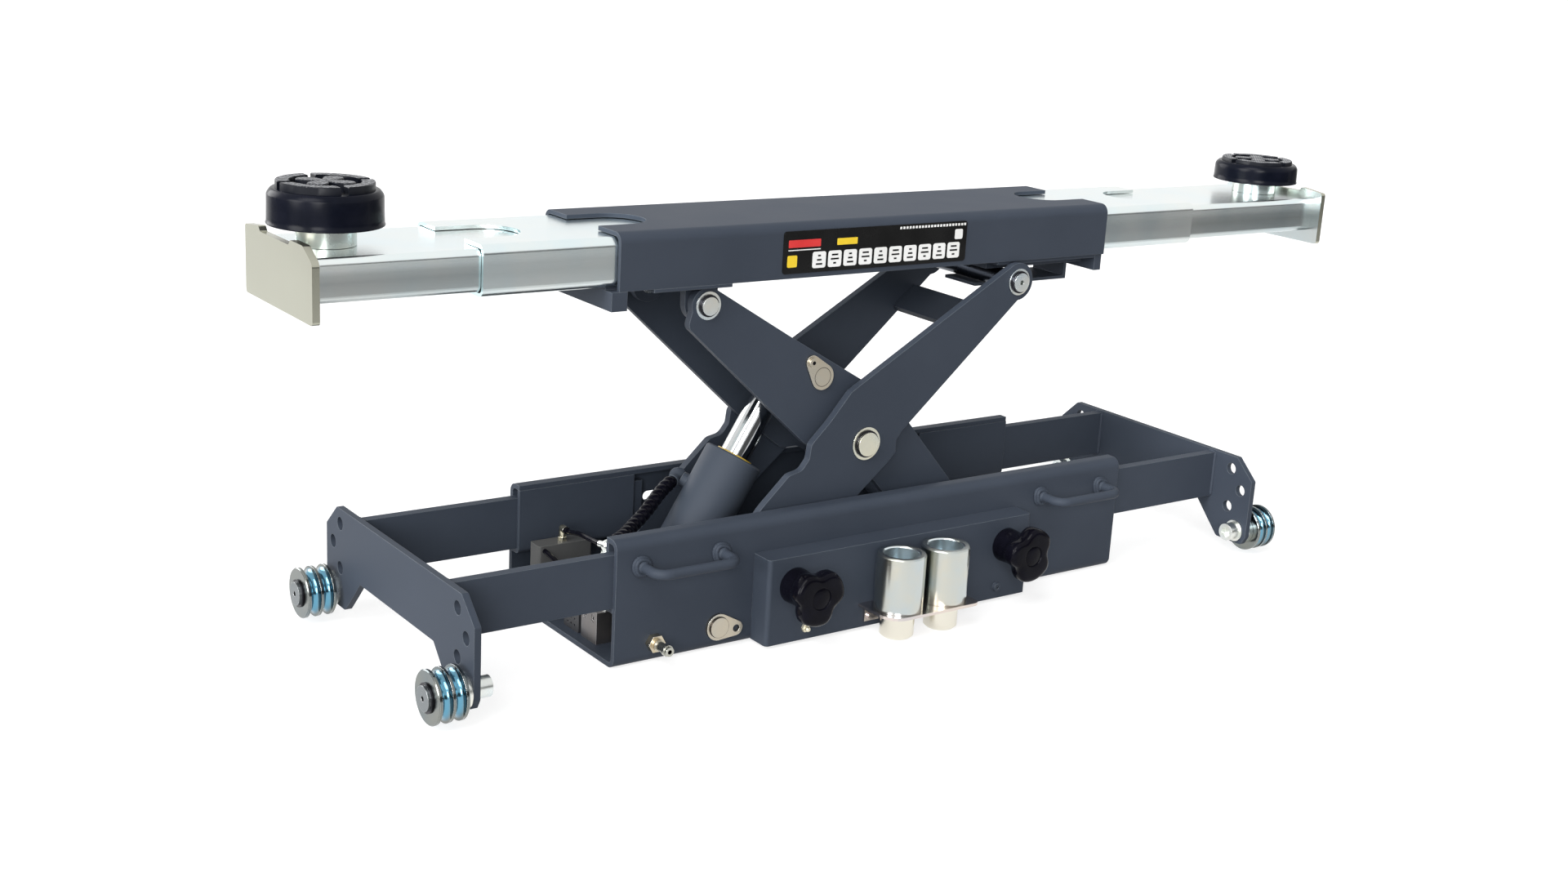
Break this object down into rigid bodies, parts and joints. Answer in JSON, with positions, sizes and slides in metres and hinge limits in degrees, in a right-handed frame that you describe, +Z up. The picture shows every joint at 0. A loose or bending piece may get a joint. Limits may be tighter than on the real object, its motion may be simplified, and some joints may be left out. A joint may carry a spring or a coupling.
{
  "type": "rolling bridge jack",
  "caption": "Air-hydraulic scissor jack that rolls between the runways of a vehicle lift and raises an axle on a telescopic beam with rubber pads.",
  "frame": {"origin": "centre of the tray's underside", "axes": "+X along the beam to the right, +Y away from the knobs, +Z up"},
  "size_m": [1.5339, 0.4272, 0.5469],
  "materials": {
    "paint": "semi-matte dark blue-grey powder coat",
    "zinc": "bright zinc plating with a faint blue and yellow tint",
    "plated_sheet": "pale zinc plating, satin",
    "steel": "turned steel",
    "tank_paint": "satin grey",
    "black_plastic": "moulded, slightly glossy",
    "hose_rubber": "ribbed black hose",
    "pad_rubber": "moulded black rubber",
    "brass": "turned brass",
    "label": null,
    "wiper": "yellow seal"
  },
  "bodies": {
    "base": {"base_tray": "paint", "arm_guides": "paint", "knob_box": "paint", "box_fasteners": "paint", "carry_handles": "paint", "lower_pivot_pin": "zinc", "lower_pivot_spacers": "paint", "adaptor_bracket": "zinc", "pump_reservoir": "tank_paint", "air_motor": "black_plastic", "valve_block": "steel", "pump_fittings": "zinc", "air_tubes": "black_plastic", "air_inlet": "brass", "hydraulic_hose": "hose_rubber"},
    "left_carriage": {"left_carriage": "paint", "left_axles": "zinc"},
    "right_carriage": {"right_carriage": "paint", "right_axles": "zinc"},
    "left_front_wheel": {"left_front_roller": "zinc"},
    "left_rear_wheel": {"left_rear_roller": "zinc"},
    "right_front_wheel": {"right_front_roller": "zinc"},
    "right_rear_wheel": {"right_rear_roller": "zinc"},
    "outer_arms": {"outer_arm_front": "paint", "outer_arm_rear": "paint", "outer_spreader": "paint", "upper_slide_shaft": "zinc", "centre_pin": "zinc"},
    "inner_arms": {"inner_arm_front": "paint", "inner_arm_rear": "paint", "inner_spreader": "paint", "upper_pivot_pins": "zinc", "rod_pin": "zinc", "lower_slide_shaft": "zinc"},
    "front_slide_wheel": {"slide_roller_front": "steel"},
    "rear_slide_wheel": {"slide_roller_rear": "steel"},
    "beam": {"main_beam": "paint", "beam_cross_bars": "paint", "pivot_brackets": "paint", "shaft_track": "paint", "label_plate": "label"},
    "left_middle": {"left_middle_tube": "plated_sheet"},
    "left_inner": {"left_inner_tube": "plated_sheet"},
    "right_middle": {"right_middle_tube": "plated_sheet"},
    "right_inner": {"right_inner_tube": "plated_sheet"},
    "left_stem": {"left_pad_stem": "zinc"},
    "left_pad": {"left_pad_rubber": "pad_rubber"},
    "right_stem": {"right_pad_stem": "zinc"},
    "right_pad": {"right_pad_rubber": "pad_rubber"},
    "barrel": {"cylinder_barrel": "paint", "rod_wiper": "wiper"},
    "rod": {"piston_rod": "steel", "piston": "steel"},
    "left_adaptor": {"left_adaptor": "zinc"},
    "right_adaptor": {"right_adaptor": "zinc"},
    "left_shoe": {"left_shoe": "steel"},
    "right_shoe": {"right_shoe": "steel"},
    "left_knob": {"left_knob": "black_plastic"},
    "right_knob": {"right_knob": "black_plastic"}
  },
  "joints": [
    {"name": "left_carriage_slide", "type": "slide", "parent": "base", "child": "left_carriage", "axis": [1, 0, 0], "range_m": [0, 0.145]},
    {"name": "right_carriage_slide", "type": "slide", "parent": "base", "child": "right_carriage", "axis": [-1, 0, 0], "range_m": [0, 0.145]},
    {"name": "left_front_wheel_spin", "type": "hinge", "parent": "left_carriage", "child": "left_front_wheel", "pos_m": [-0.6215, -0.172, 0.0355], "axis": [1, 0, 0], "continuous": true},
    {"name": "left_rear_wheel_spin", "type": "hinge", "parent": "left_carriage", "child": "left_rear_wheel", "pos_m": [-0.6215, 0.172, 0.0355], "axis": [1, 0, 0], "continuous": true},
    {"name": "right_front_wheel_spin", "type": "hinge", "parent": "right_carriage", "child": "right_front_wheel", "pos_m": [0.6215, -0.172, 0.0355], "axis": [1, 0, 0], "continuous": true},
    {"name": "right_rear_wheel_spin", "type": "hinge", "parent": "right_carriage", "child": "right_rear_wheel", "pos_m": [0.6215, 0.172, 0.0355], "axis": [1, 0, 0], "continuous": true},
    {"name": "lift", "type": "hinge", "parent": "base", "child": "outer_arms", "pos_m": [-0.2509, 0, 0.0281], "axis": [0, -1, 0], "range_deg": [-29, 0]},
    {"name": "scissor_turn", "type": "hinge", "parent": "outer_arms", "child": "inner_arms", "pos_m": [-0.0213, 0, 0.21436], "axis": [0, -1, 0], "range_deg": [0, 58]},
    {"name": "beam_level", "type": "hinge", "parent": "inner_arms", "child": "beam", "pos_m": [-0.2509, 0, 0.40062], "axis": [0, -1, 0], "range_deg": [-29, 0]},
    {"name": "barrel_tilt", "type": "hinge", "parent": "base", "child": "barrel", "pos_m": [-0.2509, 0, 0.0281], "axis": [0, -1, 0], "range_deg": [-29.5, 0], "deforming": ["hydraulic_hose"]},
    {"name": "rod_stroke", "type": "slide", "parent": "barrel", "child": "rod", "axis": [0.5247, 0, 0.8513], "range_m": [-0.103, 0]},
    {"name": "front_slide_wheel_spin", "type": "hinge", "parent": "inner_arms", "child": "front_slide_wheel", "pos_m": [0.2083, -0.09, 0.0281], "axis": [0, 1, 0], "continuous": true},
    {"name": "rear_slide_wheel_spin", "type": "hinge", "parent": "inner_arms", "child": "rear_slide_wheel", "pos_m": [0.2083, 0.09, 0.0281], "axis": [0, 1, 0], "continuous": true},
    {"name": "left_middle_slide", "type": "slide", "parent": "beam", "child": "left_middle", "axis": [1, 0, 0], "range_m": [0, 0.161]},
    {"name": "left_inner_slide", "type": "slide", "parent": "left_middle", "child": "left_inner", "axis": [1, 0, 0], "range_m": [-0.072, 0.172]},
    {"name": "right_middle_slide", "type": "slide", "parent": "beam", "child": "right_middle", "axis": [-1, 0, 0], "range_m": [0, 0.168]},
    {"name": "right_inner_slide", "type": "slide", "parent": "right_middle", "child": "right_inner", "axis": [-1, 0, 0], "range_m": [0, 0.254]},
    {"name": "left_pad_lift", "type": "slide", "parent": "left_inner", "child": "left_stem", "axis": [0, 0, 1], "range_m": [0, 0.045]},
    {"name": "left_pad_turn", "type": "hinge", "parent": "left_stem", "child": "left_pad", "pos_m": [-0.6729, 0, 0.50192], "axis": [0, 0, 1], "continuous": true},
    {"name": "right_pad_lift", "type": "slide", "parent": "right_inner", "child": "right_stem", "axis": [0, 0, 1], "range_m": [0, 0.045]},
    {"name": "right_pad_turn", "type": "hinge", "parent": "right_stem", "child": "right_pad", "pos_m": [0.741, 0, 0.49772], "axis": [0, 0, 1], "continuous": true},
    {"name": "left_adaptor_lift", "type": "slide", "parent": "base", "child": "left_adaptor", "axis": [0, 0, 1], "range_m": [0, 0.04]},
    {"name": "right_adaptor_lift", "type": "slide", "parent": "base", "child": "right_adaptor", "axis": [0, 0, 1], "range_m": [0, 0.04]},
    {"name": "left_shoe_slide", "type": "slide", "parent": "base", "child": "left_shoe", "axis": [0, -1, 0], "range_m": [0, 0.006]},
    {"name": "left_knob_turn", "type": "hinge", "parent": "left_shoe", "child": "left_knob", "pos_m": [-0.166, -0.18, 0.076], "axis": [0, -1, 0], "range_deg": [0, 1080]},
    {"name": "right_shoe_slide", "type": "slide", "parent": "base", "child": "right_shoe", "axis": [0, -1, 0], "range_m": [0, 0.006]},
    {"name": "right_knob_turn", "type": "hinge", "parent": "right_shoe", "child": "right_knob", "pos_m": [0.166, -0.18, 0.076], "axis": [0, -1, 0], "range_deg": [0, 1080]}
  ],
  "couplings": [
    {"joint": "scissor_turn", "follows": "lift", "ratio": -2},
    {"joint": "beam_level", "follows": "lift", "ratio": 1},
    {"joint": "barrel_tilt", "follows": "lift", "ratio": 1.016},
    {"joint": "rod_stroke", "follows": "lift", "m_per_rad": 0.2031},
    {"joint": "left_shoe_slide", "follows": "left_knob_turn", "m_per_rad": 0.00031831},
    {"joint": "right_shoe_slide", "follows": "right_knob_turn", "m_per_rad": 0.00031831}
  ]
}
